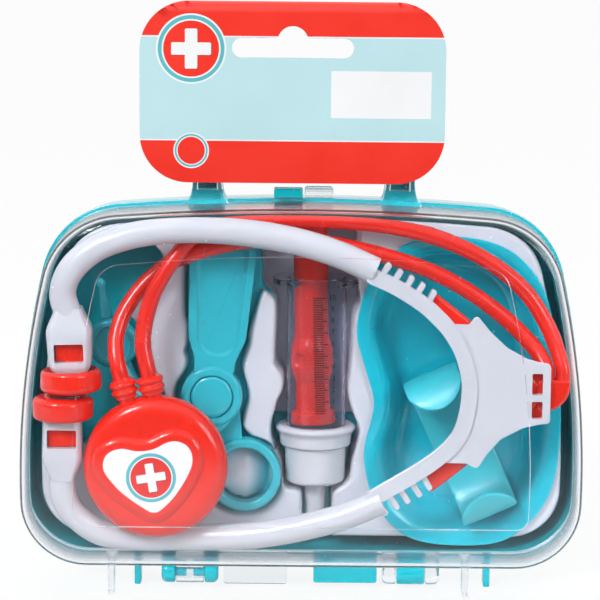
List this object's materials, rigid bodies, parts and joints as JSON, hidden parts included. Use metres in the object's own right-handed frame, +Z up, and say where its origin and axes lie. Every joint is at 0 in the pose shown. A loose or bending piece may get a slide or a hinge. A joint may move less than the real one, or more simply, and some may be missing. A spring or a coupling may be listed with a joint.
{
  "type": "toy doctor case",
  "caption": "Hinged toy case in teal and clear plastic with a carry handle and header card, holding a tray of toy medical instruments.",
  "frame": {"origin": "centre of the bounding box's bottom, on the floor under the foot fins, in the plane where the two shells meet", "axes": "+X along the case to the viewer's right, +Y towards the teal back shell, +Z up; the clear lid faces -Y"},
  "size_m": [0.2018, 0.05, 0.2124],
  "materials": {
    "teal_shell": "smooth, slightly translucent",
    "clear_shell": "clear and polished",
    "tray_sheet": "thin vacuum-formed sheet",
    "card": "coated, printed",
    "white_plastic": "satin",
    "red_plastic": "glossy",
    "red_hose": "soft, satin",
    "red_cushion": "soft, satin",
    "sticker": "coated",
    "clear_barrel": "clear and polished",
    "teal_plastic": "glossy"
  },
  "bodies": {
    "case": {"back_shell": "teal_shell", "tray": "tray_sheet", "headset": "white_plastic", "ear_plug_upper": "red_cushion", "ear_plug_lower": "red_cushion", "hose_junction": "red_plastic", "hose_inner": "red_hose", "hose_outer": "red_hose", "hose_collar_inner": "red_plastic", "hose_collar_outer": "red_plastic", "chest_bell": "red_plastic", "chest_cover": "red_plastic", "heart_sticker": "sticker", "syringe_barrel": "clear_barrel", "syringe_hub": "white_plastic", "syringe_nozzle": "white_plastic", "scissors_back_half": "teal_plastic", "scissors_pivot": "teal_plastic", "kidney_dish": "teal_plastic", "bandage_cuff": "teal_plastic", "ear_scope": "teal_plastic", "ear_scope_probe": "teal_plastic"},
    "lid": {"front_shell": "clear_shell"},
    "card": {"header_card": "card"},
    "plunger": {"syringe_plunger": "red_plastic"},
    "scissors_front": {"scissors_front_half": "teal_plastic"}
  },
  "joints": [
    {"name": "lid_hinge", "type": "hinge", "parent": "case", "child": "lid", "pos_m": [0, 0, 0.006], "axis": [1, 0, 0], "range_deg": [0, 180]},
    {"name": "card_slide", "type": "slide", "parent": "lid", "child": "card", "axis": [0, 0, 1], "range_m": [0, 0.01]},
    {"name": "plunger_slide", "type": "slide", "parent": "case", "child": "plunger", "axis": [-0.0227, 0, 0.9997], "range_m": [-0.0204, 0.003]},
    {"name": "scissors_pivot_turn", "type": "hinge", "parent": "case", "child": "scissors_front", "pos_m": [-0.0323, 0, 0.0712], "axis": [0, 1, 0], "range_deg": [0, 4]}
  ]
}
